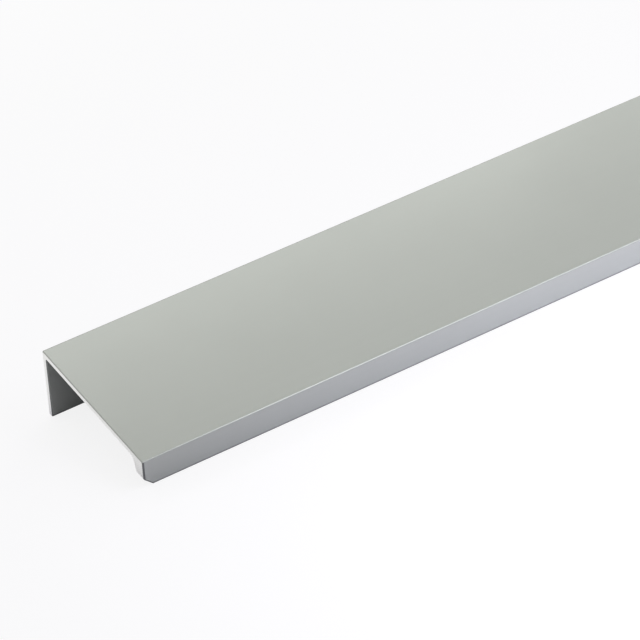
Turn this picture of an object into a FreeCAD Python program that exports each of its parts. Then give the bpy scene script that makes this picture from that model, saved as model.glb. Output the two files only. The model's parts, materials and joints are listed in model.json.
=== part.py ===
import FreeCAD, Part
import math
import os

# Handleless finger pull: one length of extruded, clear-anodised aluminium edge profile, sawn to length.
# The plate lies on the top edge of a cabinet door or drawer front, the flange behind it is screwed to the
# back of the panel, and the lip hangs in front of the panel, with room behind it for the fingers.
#
# The section is drawn in the YZ plane: Y is 0 at the flange's back face and negative towards the lip, Z is 0
# at the plate's top face and negative downwards. X runs along the length, from the middle of the piece.

# Driving dimensions, in millimetres and degrees
length = 200.0
depth = 40.0            # flange's back face to lip's front face
plate_wall = 1.4
flange_wall = 1.4
flange_drop = 17.0      # top face to the flange's lower edge
lip_drop = 6.7          # top face to the lip's lower edge
lip_root = 4.0          # thickness of the lip where it leaves the plate
lip_toe = 2.0           # thickness of the lip at its lower edge
lip_corner = 2.2        # 45 degree corner taken off each end of the lip
edge_radius = 0.3       # outer corners of the section
inner_radius = 0.5      # fillets where the flange and the lip meet the plate
burr_break = 0.2        # bevel along the edges of the sawn ends
screw_spacing = 160.0
screw_rise = 8.0        # screw axis above the flange's lower edge
hole_diameter = 4.0
sink_diameter = 6.0     # mouth of the countersink, on the flange's back face
sink_angle = 90.0
round_limit = 0.45      # largest outer rounding, as a share of the thinnest wall
bevel_limit = 0.7       # largest end bevel, as a share of the rounding that it crosses

# Roundings and bevels that stay inside the thinnest wall
edge_round = min(edge_radius, round_limit * min(plate_wall, flange_wall, lip_toe))
end_bevel = min(burr_break, bevel_limit * edge_round)

# At rest the piece lies on two edges, the inner one under the flange and the front one under the lip.
# Both have the same rounding, so the floor is parallel to the line between them.
rest_tilt = math.degrees(math.atan2(flange_drop - lip_drop, depth - flange_wall))

x_axis = FreeCAD.Vector(1, 0, 0)


def rounded_outline(corners):
    """Closed wire in the YZ plane through corners (y, z, radius), each one rounded by a tangent arc."""
    points = [FreeCAD.Vector(0, y, z) for y, z, radius in corners]
    following = points[1:] + points[:1]
    arcs = []
    for index, (y, z, radius) in enumerate(corners):
        corner = points[index]
        to_last = (points[index - 1] - corner).normalize()
        to_next = (following[index] - corner).normalize()
        half_angle = to_last.getAngle(to_next) / 2
        setback = radius / math.tan(half_angle)
        inset = radius / math.sin(half_angle) - radius
        middle = corner + (to_last + to_next).normalize() * inset
        arcs.append(Part.Arc(corner + to_last * setback, middle, corner + to_next * setback))
    edges = []
    for arc, next_arc in zip(arcs, arcs[1:] + arcs[:1]):
        edges.append(arc.toShape())
        edges.append(Part.LineSegment(arc.EndPoint, next_arc.StartPoint).toShape())
    return Part.Wire(edges)


def extruded_section():
    """The plate, flange and lip as one extrusion, from the die's outline."""
    outline = rounded_outline([
        (0, 0, edge_round),
        (0, -flange_drop, edge_round),
        (-flange_wall, -flange_drop, edge_round),
        (-flange_wall, -plate_wall, inner_radius),
        (lip_root - depth, -plate_wall, inner_radius),
        (lip_toe - depth, -lip_drop, edge_round),
        (-depth, -lip_drop, edge_round),
        (-depth, 0, edge_round),
    ])
    outline.translate(x_axis * (-length / 2))
    return Part.Face(outline).extrude(x_axis * length)


def lip_corner_cut(side):
    """Prism that takes the lower corner off the lip, at the end where side is -1 or +1."""
    end = side * length / 2
    front = -depth
    triangle = Part.makePolygon([
        FreeCAD.Vector(end, front, -lip_drop),
        FreeCAD.Vector(end - side * lip_corner, front, -lip_drop),
        FreeCAD.Vector(end, front, lip_corner - lip_drop),
        FreeCAD.Vector(end, front, -lip_drop),
    ])
    return Part.Face(triangle).extrude(FreeCAD.Vector(0, lip_root, 0))


def screw_hole(side):
    """Countersunk hole through the flange, its mouth on the back face."""
    hole_radius = hole_diameter / 2
    sink_radius = sink_diameter / 2
    sink_depth = (sink_radius - hole_radius) / math.tan(math.radians(sink_angle / 2))
    mouth = FreeCAD.Vector(side * screw_spacing / 2, 0, screw_rise - flange_drop)
    inwards = FreeCAD.Vector(0, -1, 0)
    hole = Part.makeCylinder(hole_radius, flange_wall, mouth, inwards)
    sink = Part.makeCone(sink_radius, hole_radius, sink_depth, mouth, inwards)
    return hole.fuse(sink)


def break_end_edges(piece):
    """Bevels the edges round the two sawn end faces."""
    edges = []
    for face in piece.Faces:
        if abs(face.CenterOfMass.x) > length / 2 - end_bevel:
            edges.extend(face.Edges)
    return piece.makeChamfer(end_bevel, edges)


def finger_pull_profile():
    """The whole piece, in the frame of its section."""
    piece = extruded_section()
    for side in (-1, 1):
        piece = piece.cut(lip_corner_cut(side))
    piece = break_end_edges(piece)
    for side in (-1, 1):
        piece = piece.cut(screw_hole(side))
    return piece


def laid_down(piece):
    """The piece as it lies on a level floor, with the origin under the middle of its box."""
    piece.rotate(FreeCAD.Vector(0, 0, 0), x_axis, rest_tilt)
    box = piece.optimalBoundingBox(False, False)
    piece.translate(FreeCAD.Vector(0, -box.Center.y, -box.ZMin))
    return piece


os.makedirs("parts", exist_ok=True)
laid_down(finger_pull_profile()).exportStep("parts/finger_pull_profile.step")
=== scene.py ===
"""Looks of the handleless finger pull profile.

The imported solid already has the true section, holes and edges, so it stays the visible piece. This
script gives it its finish, satin anodised faces with paler metal where it was sawn and countersunk,
and lays it on a pale floor in soft light, seen from the photograph's angle. Lengths are in metres,
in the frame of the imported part, and angles in degrees unless a docstring says otherwise.
"""

import json
import logging
import math
from dataclasses import dataclass
from enum import Enum
from functools import cached_property

import bmesh
import bpy
from mathutils import Matrix, Vector


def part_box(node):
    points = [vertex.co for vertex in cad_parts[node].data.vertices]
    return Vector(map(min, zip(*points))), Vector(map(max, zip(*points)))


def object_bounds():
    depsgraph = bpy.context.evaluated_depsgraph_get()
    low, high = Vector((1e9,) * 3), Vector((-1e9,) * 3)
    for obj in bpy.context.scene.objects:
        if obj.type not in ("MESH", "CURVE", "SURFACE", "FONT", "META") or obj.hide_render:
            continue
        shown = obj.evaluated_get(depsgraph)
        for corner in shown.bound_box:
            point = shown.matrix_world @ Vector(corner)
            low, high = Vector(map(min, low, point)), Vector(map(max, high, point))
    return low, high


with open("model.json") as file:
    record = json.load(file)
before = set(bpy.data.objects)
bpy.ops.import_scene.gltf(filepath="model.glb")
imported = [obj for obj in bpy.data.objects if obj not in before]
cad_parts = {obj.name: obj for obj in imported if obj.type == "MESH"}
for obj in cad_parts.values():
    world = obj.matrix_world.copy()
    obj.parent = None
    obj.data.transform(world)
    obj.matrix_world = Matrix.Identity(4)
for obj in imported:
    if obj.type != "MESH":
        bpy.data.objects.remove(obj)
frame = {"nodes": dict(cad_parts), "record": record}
CAD_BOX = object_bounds()
MICRON = 1e-6
MILLIMETRE = 1e-3

log = logging.getLogger("finger_pull")

Colour = tuple[float, float, float]
Point = tuple[float, float, float]
Socket = bpy.types.NodeSocket

# What goes into a socket: another socket to link, or a constant
Input = Socket | float | tuple

WHITE: Colour = (1.0, 1.0, 1.0)

# Elevation of a lamp straight above, but for a trace that keeps its sides along X and Y
OVERHEAD = 89.9

# Noise that the specks are made of, with the middle and the gain that make it swing about nought
NOISE_DETAIL = 2.0
NOISE_ROUGHNESS = 0.5
NOISE_MIDDLE = 0.5
NOISE_GAIN = 4.0

# Scale that keeps a place's position in the section and drops the one along the piece
SECTION_ONLY: Point = (0.0, 1.0, 1.0)


class Ray(Enum):
    """Kinds of ray, by the name of their Light Path output."""

    CAMERA = "Is Camera Ray"
    GLOSSY = "Is Glossy Ray"
    TRANSMISSION = "Is Transmission Ray"


class Rule(Enum):
    """Sums that the finishes are worked out with, by the name of their Math operation."""

    ADD = "ADD"
    SUBTRACT = "SUBTRACT"
    MULTIPLY = "MULTIPLY"
    MULTIPLY_ADD = "MULTIPLY_ADD"
    DIVIDE = "DIVIDE"
    ABSOLUTE = "ABSOLUTE"
    SINE = "SINE"
    LARGER = "MAXIMUM"


class Kind(Enum):
    """Kinds of socket that the node groups have."""

    VALUE = "NodeSocketFloat"
    VECTOR = "NodeSocketVector"


class Mixture(Enum):
    """What a Mix node mixes: its data type, and where its two inputs and its output stand."""

    VALUES = ("FLOAT", 2, 3, 0)
    COLOURS = ("RGBA", 6, 7, 2)


def opaque(colour: Colour) -> tuple[float, float, float, float]:
    """Gives a colour the full alpha that colour sockets ask for."""
    return (*colour, 1.0)


def direction(azimuth: float, elevation: float) -> Vector:
    """Unit vector from the piece towards a lamp or the camera.

    Args:
        azimuth: Angle round from the front, -Y, towards +X.
        elevation: Angle above the floor.

    Returns:
        The direction.
    """
    around = math.radians(azimuth)
    above = math.radians(elevation)
    level = math.cos(above)
    return Vector((math.sin(around) * level, -math.cos(around) * level, math.sin(above)))


class ShaderTree:
    """Adds and links the nodes of one material, world or node group."""

    def __init__(self, tree: bpy.types.NodeTree) -> None:
        """Takes the tree over and empties it.

        Args:
            tree: The node tree to fill.
        """
        self.tree = tree
        tree.nodes.clear()

    def node(
        self,
        kind: str,
        inputs: dict[str | int, Input] | None = None,
        **settings: object,
    ) -> bpy.types.Node:
        """Adds a node.

        Args:
            kind: The node's type, such as ShaderNodeTexNoise.
            inputs: What goes into its sockets, by name or number.
            settings: Properties of the node itself.

        Returns:
            The new node.
        """
        node = self.tree.nodes.new(kind)
        for name, value in settings.items():
            setattr(node, name, value)
        for name, value in (inputs or {}).items():
            if isinstance(value, Socket):
                self.tree.links.new(value, node.inputs[name])
            else:
                node.inputs[name].default_value = value
        return node

    def sum(self, rule: Rule, *terms: Input) -> Socket:
        """Adds a Math node.

        Args:
            rule: What it works out.
            terms: Its values in order.

        Returns:
            The node's output.
        """
        return self.node("ShaderNodeMath", dict(enumerate(terms)), operation=rule.value).outputs[0]

    def swing(self, middle: Input, amount: float, *marks: Socket) -> Socket:
        """Adds marks that swing about nought, each times an amount, to a middle value.

        Args:
            middle: The value that the marks swing about.
            amount: What each mark is multiplied by.
            marks: The marks.

        Returns:
            The sum.
        """
        for mark in marks:
            middle = self.sum(Rule.MULTIPLY_ADD, mark, amount, middle)
        return middle

    def ramp(
        self,
        value: Socket,
        low: float,
        high: float,
        to_low: float = 0.0,
        to_high: float = 1.0,
    ) -> Socket:
        """Maps one range to another with a smooth step, clamped at both ends.

        Args:
            value: What is mapped.
            low: Start of the range that is read.
            high: End of the range that is read.
            to_low: Result at and below low.
            to_high: Result at and above high.

        Returns:
            The mapped value.
        """
        inputs = {
            "Value": value,
            "From Min": low,
            "From Max": high,
            "To Min": to_low,
            "To Max": to_high,
        }
        step = self.node("ShaderNodeMapRange", inputs, interpolation_type="SMOOTHSTEP")
        return step.outputs["Result"]

    def distance(self, place: Socket, point: Point) -> Socket:
        """Measures from a place on the surface to a fixed point."""
        gap = self.node("ShaderNodeVectorMath", {0: place, 1: point}, operation="DISTANCE")
        return gap.outputs["Value"]

    def turned(
        self,
        place: Socket,
        angle: float = 0.0,
        scale: Point = (1.0, 1.0, 1.0),
    ) -> Socket:
        """Turns a place about the X axis and scales it.

        Args:
            place: The place.
            angle: The turn, in radians.
            scale: The scale along each axis, before the turn.

        Returns:
            The new place.
        """
        inputs = {"Vector": place, "Rotation": (angle, 0.0, 0.0), "Scale": scale}
        return self.node("ShaderNodeMapping", inputs).outputs["Vector"]

    def shaded(self, tone: Colour, share: Socket) -> Socket:
        """Scales a tone by a share that changes over the surface.

        Args:
            tone: The tone where the share is 1.
            share: How light it is.

        Returns:
            The shaded colour.
        """
        inputs = {0: tone, "Scale": share}
        return self.node("ShaderNodeVectorMath", inputs, operation="SCALE").outputs[0]

    def blend(self, mixture: Mixture, share: Input, first: Input, second: Input) -> Socket:
        """Mixes two values or two colours.

        Args:
            mixture: Which of the two it mixes.
            share: How much of the second one, 0 to 1.
            first: The one where the share is 0.
            second: The one where the share is 1.

        Returns:
            The mixture.
        """
        data_type, first_input, second_input, output = mixture.value
        inputs = {0: share, first_input: first, second_input: second}
        return self.node("ShaderNodeMix", inputs, data_type=data_type).outputs[output]

    def mark(self, group: bpy.types.NodeTree, **inputs: Input) -> Socket:
        """Places a node group.

        Args:
            group: The group.
            inputs: What goes into its sockets, by name.

        Returns:
            The group's one output.
        """
        return self.node("ShaderNodeGroup", inputs, node_tree=group).outputs[0]


class MarkGroup(ShaderTree):
    """A node group for one kind of mark on metal.

    It puts out a value that swings between about -1 and 1.
    """

    def __init__(self, name: str, inputs: dict[str, Kind]) -> None:
        """Starts an empty group.

        Args:
            name: The group's name.
            inputs: The kind of each of its inputs, by name.
        """
        super().__init__(bpy.data.node_groups.new(name, "ShaderNodeTree"))
        sockets = self.tree.interface
        for label, kind in inputs.items():
            sockets.new_socket(label, in_out="INPUT", socket_type=kind.value)
        sockets.new_socket("Mark", in_out="OUTPUT", socket_type=Kind.VALUE.value)
        self.given = self.node("NodeGroupInput").outputs

    def close(self, mark: Socket) -> bpy.types.NodeTree:
        """Links the group's output.

        Args:
            mark: The value to put out.

        Returns:
            The finished group.
        """
        self.node("NodeGroupOutput", {"Mark": mark})
        return self.tree


def speckle_group() -> bpy.types.NodeTree:
    """Builds soft, even specks of a given size.

    Returns:
        The node group, with inputs Place and Size.
    """
    group = MarkGroup("speckle", {"Place": Kind.VECTOR, "Size": Kind.VALUE})
    noise = group.node("ShaderNodeTexNoise", {
        "Vector": group.given["Place"],
        "Scale": group.sum(Rule.DIVIDE, 1.0, group.given["Size"]),
        "Detail": NOISE_DETAIL,
        "Roughness": NOISE_ROUGHNESS,
    })
    about_nought = group.sum(Rule.SUBTRACT, noise.outputs["Fac"], NOISE_MIDDLE)
    return group.close(group.sum(Rule.MULTIPLY, about_nought, NOISE_GAIN))


def tool_line_group() -> bpy.types.NodeTree:
    """Builds the lines that a cutting tool leaves, a pitch apart and as uneven as their wander.

    Returns:
        The node group, with inputs Distance, Pitch and Wander.
    """
    group = MarkGroup("tool_lines", dict.fromkeys(("Distance", "Pitch", "Wander"), Kind.VALUE))
    turns = group.sum(Rule.DIVIDE, group.given["Distance"], group.given["Pitch"])
    uneven = group.sum(Rule.ADD, turns, group.given["Wander"])
    return group.close(group.sum(Rule.SINE, group.sum(Rule.MULTIPLY, uneven, math.tau)))


@dataclass
class EdgeProfile:
    """The extruded piece. Its solid is right as packed, so it only takes its finish here."""

    node: str = "finger_pull_profile"

    # Sizes of the solid, which say where its finish changes
    end_bevel: float = 0.2 * MILLIMETRE
    edge_round: float = 0.3 * MILLIMETRE
    lip_drop: float = 6.7 * MILLIMETRE
    lip_corner: float = 2.2 * MILLIMETRE
    sink_radius: float = 3.0 * MILLIMETRE

    # How far the painted dark shade reaches in from the lip's ends, in from its clipped corners and up
    # from the floor, and how far below the plate's top it stops
    lip_shade_reach: float = 0.45 * MILLIMETRE
    clip_shade_reach: float = 0.3 * MILLIMETRE
    floor_shade_height: float = 0.6 * MILLIMETRE
    top_rim: float = 0.25 * MILLIMETRE

    def mount(self, name: str) -> dict:
        """Finds one of the piece's mounts by its name."""
        return next(m for m in frame["record"]["mounts"] if m["name"] == name)

    @property
    def half_length(self) -> float:
        """Half the length of the piece."""
        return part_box(self.node)[1].x

    @property
    def tilt(self) -> float:
        """Angle that the plate leans at on the floor, in radians, from the way its flange faces."""
        facing = self.mount("flange_seat")["axis"]
        return math.atan2(-facing[2], -facing[1])

    @property
    def upright(self) -> Matrix:
        """Turn that brings the plate level, as in the drawing of the section."""
        return Matrix.Rotation(-self.tilt, 3, "X")

    @cached_property
    def levelled(self) -> list[Vector]:
        """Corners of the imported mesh, with the plate level."""
        upright = self.upright
        return [upright @ corner.co for corner in frame["nodes"][self.node].data.vertices]

    @property
    def top(self) -> float:
        """Height of the plate's top face, with the plate level."""
        return max(corner.z for corner in self.levelled)

    @property
    def back(self) -> float:
        """How far back the flange's back face is, with the plate level."""
        return max(corner.y for corner in self.levelled)

    @property
    def front_depth(self) -> float:
        """How far the lip's front face is from the flange's back face, with the plate level."""
        return self.back - min(corner.y for corner in self.levelled)

    @property
    def screw_axis(self) -> Point:
        """Finds the axis of the right-hand screw hole.

        Returns:
            A point on the axis, with the plate level.
        """
        screws = self.mount("flange_screws")
        reach = screws["dims"]["pcd_mm"] * MILLIMETRE / 2
        return reach, 0.0, (self.upright @ Vector(screws["pos_m"])).z

    @property
    def hole_radius(self) -> float:
        """Radius of the screw holes."""
        return self.mount("flange_screws")["dims"]["hole_r_mm"] * MILLIMETRE

    def dress(self, finish: "SatinAnodised") -> bpy.types.Object:
        """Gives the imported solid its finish.

        Args:
            finish: The finish of the whole piece.

        Returns:
            The dressed object.
        """
        piece = frame["nodes"][self.node]
        piece.material_slots[0].material = finish.material(self)
        return piece


class ProfileZones:
    """Tells the parts of the profile's surface apart by where they lie, with the plate level."""

    # Width over which a mask fades
    blur: float = 20 * MICRON

    def __init__(self, shader: ShaderTree, profile: EdgeProfile) -> None:
        """Works out the places that the masks are made from.

        Args:
            shader: The tree of the profile's material.
            profile: The piece.
        """
        self.shader = shader
        self.profile = profile
        lying = shader.node("ShaderNodeTexCoord").outputs["Object"]
        self.above_floor = shader.node("ShaderNodeSeparateXYZ", {"Vector": lying}).outputs["Z"]
        self.place = shader.turned(lying, -profile.tilt)
        axes = shader.node("ShaderNodeSeparateXYZ", {"Vector": self.place}).outputs
        self.height = axes["Z"]
        self.depth = shader.sum(Rule.SUBTRACT, profile.back, axes["Y"])
        self.reach = shader.sum(Rule.ABSOLUTE, axes["X"])
        folded = shader.node("ShaderNodeCombineXYZ", {"X": self.reach, "Z": self.height})
        self.from_screw = shader.distance(folded.outputs["Vector"], profile.screw_axis)

    def within(self, value: Socket, limit: float) -> Socket:
        """Gives 1 where a value is up to a limit, and 0 a little past it."""
        start = limit + self.blur
        return self.shader.ramp(value, start, start + self.blur, to_low=1.0, to_high=0.0)

    def past(self, value: Socket, limit: float) -> Socket:
        """Gives 1 where a value is a little past a limit, and 0 up to it."""
        return self.shader.ramp(value, limit, limit + self.blur)

    def both(self, first: Socket, second: Socket) -> Socket:
        """Mask of what lies in both of two masks."""
        return self.shader.sum(Rule.MULTIPLY, first, second)

    def either(self, first: Socket, second: Socket) -> Socket:
        """Mask of what lies in one or both of two masks."""
        return self.shader.sum(Rule.LARGER, first, second)

    def sawn(self) -> Socket:
        """Mask of the flat of the two sawn ends."""
        return self.past(self.reach, self.profile.half_length - 2 * self.blur)

    def long_edges(self) -> Socket:
        """Finds the two rounded edges along the plate's top, where shade is painted.

        Returns:
            Their mask.
        """
        profile = self.profile
        at_back = self.within(self.depth, profile.edge_round)
        at_front = self.past(self.depth, profile.front_depth - profile.edge_round)
        near_top = self.past(self.height, profile.top - profile.edge_round)
        return self.both(self.either(at_back, at_front), near_top)

    def painted_shade_edges(self) -> Socket:
        """Finds where dark shade is painted: the edges round the sawn ends, apart from the top ones, and
        those on the floor.

        Returns:
            Their mask, widest down the ends of the lip's front.
        """
        profile = self.profile
        # Painted shade along the sawn ends' bevels and down the lip's ends and clipped corners
        on_bevel = self.past(self.reach, profile.half_length - profile.end_bevel)
        near_end = self.past(self.reach, profile.half_length - profile.lip_shade_reach)

        # The corners are clipped at 45 degrees, so reach less height stays the same along the cut
        clip_line = (
            profile.half_length - profile.top + profile.lip_drop - profile.lip_corner - profile.clip_shade_reach
        )
        near_clip = self.past(self.shader.sum(Rule.SUBTRACT, self.reach, self.height), clip_line)

        on_front = self.past(self.depth, profile.front_depth - profile.end_bevel)
        on_lip = self.both(self.either(near_end, near_clip), on_front)
        below_top = self.within(self.height, profile.top - profile.top_rim)
        round_end = self.both(self.either(on_bevel, on_lip), below_top)
        # Painted contact shadow, darkest where the piece touches the floor
        contact_shade = self.shader.ramp(self.above_floor, 0.0, profile.floor_shade_height, to_low=1.0, to_high=0.0)
        return self.either(round_end, contact_shade)

    def sunk(self) -> Socket:
        """Finds the screw holes and their countersinks, whose cones slope at 45 degrees.

        Returns:
            Their mask.
        """
        profile = self.profile
        slant = self.shader.sum(Rule.ADD, self.from_screw, self.depth)
        in_cone = self.within(slant, profile.sink_radius)
        in_hole = self.within(self.from_screw, profile.hole_radius)
        on_flange = self.within(self.depth, profile.sink_radius)
        return self.both(self.either(in_cone, in_hole), on_flange)


@dataclass(frozen=True)
class BareCut:
    """Metal as a tool leaves it: paler than the anodised faces, and crossed by the tool's lines."""

    tone: Colour
    roughness: float
    pitch: float
    wander: float
    shade_swing: float = 0.03
    roughness_swing: float = 0.04
    depth_microns: float = 1.5


@dataclass(frozen=True)
class SatinAnodised:
    """Etched and clear-anodised aluminium: an even, silky grey that shows the light softly.

    The etch leaves a fine grain and the die faint lines along the piece. The sawn ends and the
    countersinks are bare.
    """

    tone: Colour = (0.483, 0.502, 0.468)
    roughness: float = 0.40

    # Marks of the etch and the die, and the slow clouding over both
    grain_size: float = 0.25 * MILLIMETRE
    grain_microns: float = 1.2
    line_size: float = 0.5 * MILLIMETRE
    line_stretch: float = 0.004
    line_microns: float = 0.5
    cloud_size: float = 14.0 * MILLIMETRE
    shade_swing: float = 0.008
    roughness_swing: float = 0.015

    # Painted shade: share of the tone that the rounded long edges lose, and the dark tone painted along
    # the sawn ends' edges and where the piece lies on the floor
    edge_painted_shade: float = 0.15
    painted_shade_tone: Colour = (0.16, 0.165, 0.165)
    painted_shade_roughness: float = 0.5

    # Bare metal, and the middle of the arcs that the saw left on the ends, with the plate level
    sawn: BareCut = BareCut(
        tone=(0.90, 0.90, 0.88), roughness=0.46, pitch=0.42 * MILLIMETRE, wander=0.35,
    )
    sunk: BareCut = BareCut(
        tone=(0.80, 0.81, 0.81), roughness=0.28, pitch=0.16 * MILLIMETRE, wander=0.1,
    )
    saw_centre: Point = (0.0, 0.045, 0.13)

    def material(self, profile: EdgeProfile) -> bpy.types.Material:
        """Builds the finish for the profile.

        Args:
            profile: The piece that takes the finish, for its lie, its ends and its screw holes.

        Returns:
            The material.
        """
        material = bpy.data.materials.new("satin_anodised")
        material.use_nodes = True
        shader = ShaderTree(material.node_tree)
        zones = ProfileZones(shader, profile)
        speckle = speckle_group()
        tool_lines = tool_line_group()
        grain = shader.mark(speckle, Place=zones.place, Size=self.grain_size)
        drawn = shader.turned(zones.place, scale=(self.line_stretch, 1.0, 1.0))
        lines = shader.mark(speckle, Place=drawn, Size=self.line_size)
        clouds = shader.mark(speckle, Place=zones.place, Size=self.cloud_size)

        # Anodised faces, with painted shade that darkens the rounded long edges
        light = shader.swing(1.0, self.shade_swing, grain, lines, clouds)
        colour = shader.shaded(self.tone, shader.swing(light, -self.edge_painted_shade, zones.long_edges()))
        roughness = shader.swing(self.roughness, self.roughness_swing, grain, lines)
        etched = shader.swing(0.0, self.grain_microns, grain)
        height = shader.swing(etched, self.line_microns, lines)

        # Painted shade along the edges that were sawn through, and a painted contact shadow along the
        # floor
        shade_mask = zones.painted_shade_edges()
        colour = shader.blend(Mixture.COLOURS, shade_mask, colour, opaque(self.painted_shade_tone))
        roughness = shader.blend(Mixture.VALUES, shade_mask, roughness, self.painted_shade_roughness)

        # Bare metal of the sawn ends and the countersinks
        in_section = shader.turned(zones.place, scale=SECTION_ONLY)
        for cut, zone, distance in (
            (self.sawn, zones.sawn(), shader.distance(in_section, self.saw_centre)),
            (self.sunk, zones.sunk(), zones.from_screw),
        ):
            wander = shader.sum(Rule.MULTIPLY, clouds, cut.wander)
            marks = shader.mark(tool_lines, Distance=distance, Pitch=cut.pitch, Wander=wander)
            bare = shader.shaded(cut.tone, shader.swing(1.0, cut.shade_swing, marks, grain))
            uneven = shader.swing(cut.roughness, cut.roughness_swing, marks)
            ridges = shader.sum(Rule.MULTIPLY, marks, cut.depth_microns)
            colour = shader.blend(Mixture.COLOURS, zone, colour, bare)
            roughness = shader.blend(Mixture.VALUES, zone, roughness, uneven)
            height = shader.blend(Mixture.VALUES, zone, height, ridges)

        bump = shader.node("ShaderNodeBump", {"Strength": 1.0, "Distance": MICRON, "Height": height})
        metal = shader.node("ShaderNodeBsdfPrincipled", {
            "Base Color": colour,
            "Metallic": 1.0,
            "Roughness": roughness,
            "Normal": bump.outputs["Normal"],
        })
        shader.node("ShaderNodeOutputMaterial", {"Surface": metal.outputs["BSDF"]})
        return material


@dataclass(frozen=True)
class PaleFloor:
    """The floor that the piece lies on, and low walls far off.

    Both are white to the camera and in the metal. Close to the piece the floor is partly matt, so
    that the piece's shadow shows.
    """

    half_size: float = 8.0
    wall_height: float = 1.6
    tone: Colour = (0.94, 0.92, 1.0)

    # Share of the floor that is its own light, and how far past the piece all of it is, in view
    glow_share: float = 0.85
    white_reach: float = 0.4

    # How far past the piece's sides and ends that share is reached, where the metal shows the floor
    side_shadow: float = 0.05
    end_shadow: float = 0.0075

    def build(self) -> bpy.types.Object:
        """Makes the floor and the walls.

        Returns:
            Their object.
        """
        mesh = bpy.data.meshes.new("floor")
        sheet = bmesh.new()
        bmesh.ops.create_grid(sheet, x_segments=1, y_segments=1, size=self.half_size)
        walls = bmesh.ops.extrude_edge_only(sheet, edges=sheet.edges[:])
        rim = [part for part in walls["geom"] if isinstance(part, bmesh.types.BMVert)]
        bmesh.ops.translate(sheet, verts=rim, vec=(0.0, 0.0, self.wall_height))
        sheet.to_mesh(mesh)
        sheet.free()
        floor = bpy.data.objects.new("floor", mesh)
        bpy.context.scene.collection.objects.link(floor)
        mesh.materials.append(self.material())
        return floor

    def material(self) -> bpy.types.Material:
        """Builds a matt white that is partly its own light, in view and where the metal shows it.

        Returns:
            The material.
        """
        material = bpy.data.materials.new("pale_floor")
        material.use_nodes = True
        shader = ShaderTree(material.node_tree)
        matt = shader.node("ShaderNodeBsdfDiffuse", {"Color": opaque(self.tone)})
        glow = shader.node("ShaderNodeEmission", {"Color": opaque(WHITE), "Strength": 1.0})
        rays = shader.node("ShaderNodeLightPath").outputs

        # How much of it is its own light: all of it far off in view, and none under the piece where
        # the metal shows it
        whiter = self.away(shader, self.white_reach, self.white_reach)
        in_view = shader.blend(Mixture.VALUES, whiter, self.glow_share, 1.0)
        past_shadow = self.away(shader, self.end_shadow, self.side_shadow)
        in_metal = shader.sum(Rule.MULTIPLY, past_shadow, self.glow_share)
        mirrored = shader.sum(Rule.LARGER, rays[Ray.GLOSSY.value], rays[Ray.TRANSMISSION.value])
        share = shader.sum(
            Rule.LARGER,
            shader.sum(Rule.MULTIPLY, rays[Ray.CAMERA.value], in_view),
            shader.sum(Rule.MULTIPLY, mirrored, in_metal),
        )

        surface = shader.node("ShaderNodeMixShader", {
            0: share,
            1: matt.outputs["BSDF"],
            2: glow.outputs["Emission"],
        })
        shader.node("ShaderNodeOutputMaterial", {"Surface": surface.outputs["Shader"]})
        return material

    def away(self, shader: ShaderTree, past_end: float, past_side: float) -> Socket:
        """Mask that rises from 0 under the piece to 1 some way past it.

        Args:
            shader: The tree of the floor's material.
            past_end: How far past the piece's ends the mask is 1.
            past_side: How far past its sides the mask is 1.

        Returns:
            The mask.
        """
        place = shader.node("ShaderNodeTexCoord").outputs["Object"]
        axes = shader.node("ShaderNodeSeparateXYZ", {"Vector": place}).outputs
        corner = CAD_BOX[1]
        masks = [
            shader.ramp(shader.sum(Rule.ABSOLUTE, axes[axis]), edge, edge + reach)
            for axis, edge, reach in (("X", corner[0], past_end), ("Y", corner[1], past_side))
        ]
        return shader.sum(Rule.LARGER, *masks)


@dataclass(frozen=True)
class SoftLamp:
    """A softbox, given by where it stands as seen from the point that it lights."""

    name: str
    azimuth: float
    elevation: float
    distance: float
    width: float
    height: float
    watts: float
    tint: Colour = WHITE
    aim: Point = (-0.04, 0.0, 0.01)
    spread: float = 180.0

    def place(self) -> bpy.types.Object:
        """Hangs the lamp, facing its aim.

        Returns:
            The lamp's object.
        """
        light = bpy.data.lights.new(self.name, "AREA")
        light.shape = "RECTANGLE"
        light.size = self.width
        light.size_y = self.height
        light.energy = self.watts
        light.color = self.tint
        light.spread = math.radians(self.spread)
        lamp = bpy.data.objects.new(self.name, light)
        bpy.context.scene.collection.objects.link(lamp)
        away = direction(self.azimuth, self.elevation)
        lamp.location = Vector(self.aim) + away * self.distance
        lamp.rotation_euler = away.to_track_quat("Z", "Y").to_euler()
        lamp.visible_camera = False
        return lamp


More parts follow.
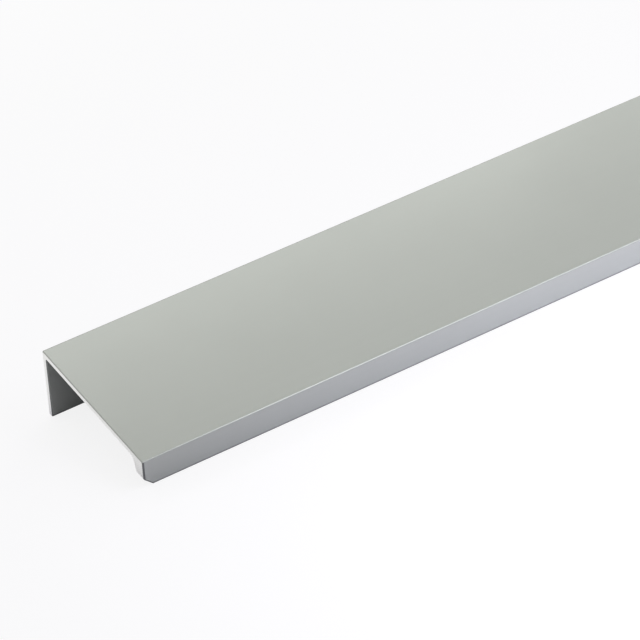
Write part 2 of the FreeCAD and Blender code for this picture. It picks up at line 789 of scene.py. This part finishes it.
@dataclass(frozen=True)
class Studio:
    """The softboxes, and the even light of the room around them."""

    room_strength: float = 0.42
    lamps: tuple[SoftLamp, ...] = (
        SoftLamp(
            "back_left_box", azimuth=225.0, elevation=12.0, distance=1.0,
            width=0.7, height=0.7, watts=0.6,
        ),
        SoftLamp(
            "back_right_box", azimuth=120.0, elevation=22.0, distance=0.35,
            width=0.2, height=0.2, watts=0.176,
        ),
        SoftLamp(
            "back_strip", azimuth=180.0, elevation=50.0, distance=0.17,
            width=0.3, height=0.04, watts=0.058,
        ),
        SoftLamp(
            "overhead_panel", azimuth=0.0, elevation=OVERHEAD, distance=0.6,
            width=0.7, height=0.7, watts=0.5,
        ),
        SoftLamp(
            "front_panel", azimuth=0.0, elevation=OVERHEAD, distance=0.1,
            width=0.35, height=0.24, watts=0.725,
            tint=(0.91, 0.92, 1.0), aim=(0.115, -0.173, 0.0), spread=140.0,
        ),
    )

    def build(self) -> None:
        """Hangs the lamps and lights the room."""
        for lamp in self.lamps:
            log.info("hung %s", lamp.place().name)
        world = bpy.data.worlds.new("pale_room")
        world.use_nodes = True
        bpy.context.scene.world = world
        shader = ShaderTree(world.node_tree)
        room = shader.node("ShaderNodeBackground", {
            "Color": opaque(WHITE),
            "Strength": self.room_strength,
        })
        shader.node("ShaderNodeOutputWorld", {"Surface": room.outputs["Background"]})
        log.info("lit %s", world.name)


@dataclass(frozen=True)
class PhotoCamera:
    """The photograph's camera, fitted to the straight edges of the piece."""

    aim: Point = (-0.04902, -0.00593, 0.01057)
    azimuth: float = -25.977
    elevation: float = 27.359
    roll: float = 11.113
    distance: float = 0.6842
    focal_pixels: float = 3390.2
    frame_pixels: float = 640.0
    sensor_mm: float = 36.0

    def place(self) -> bpy.types.Object:
        """Makes the camera and gives it to the scene.

        Returns:
            The camera's object.
        """
        lens = bpy.data.cameras.new("photo_camera")
        lens.sensor_width = self.sensor_mm
        lens.lens = self.focal_pixels / self.frame_pixels * self.sensor_mm
        camera = bpy.data.objects.new("photo_camera", lens)
        bpy.context.scene.collection.objects.link(camera)
        away = direction(self.azimuth, self.elevation)
        turn = away.to_track_quat("Z", "Y").to_matrix().to_4x4()
        rolled = turn @ Matrix.Rotation(math.radians(-self.roll), 4, "Z")
        camera.matrix_world = Matrix.Translation(Vector(self.aim) + away * self.distance) @ rolled
        bpy.context.scene.camera = camera
        return camera


def main() -> None:
    """Builds the scene."""
    logging.basicConfig(level=logging.INFO, format="%(name)s: %(message)s")
    bpy.context.scene.view_settings.view_transform = "Standard"
    log.info("dressed %s", EdgeProfile().dress(SatinAnodised()).name)
    log.info("laid %s", PaleFloor().build().name)
    Studio().build()
    log.info("placed %s", PhotoCamera().place().name)


if __name__ == "__main__":
    main()
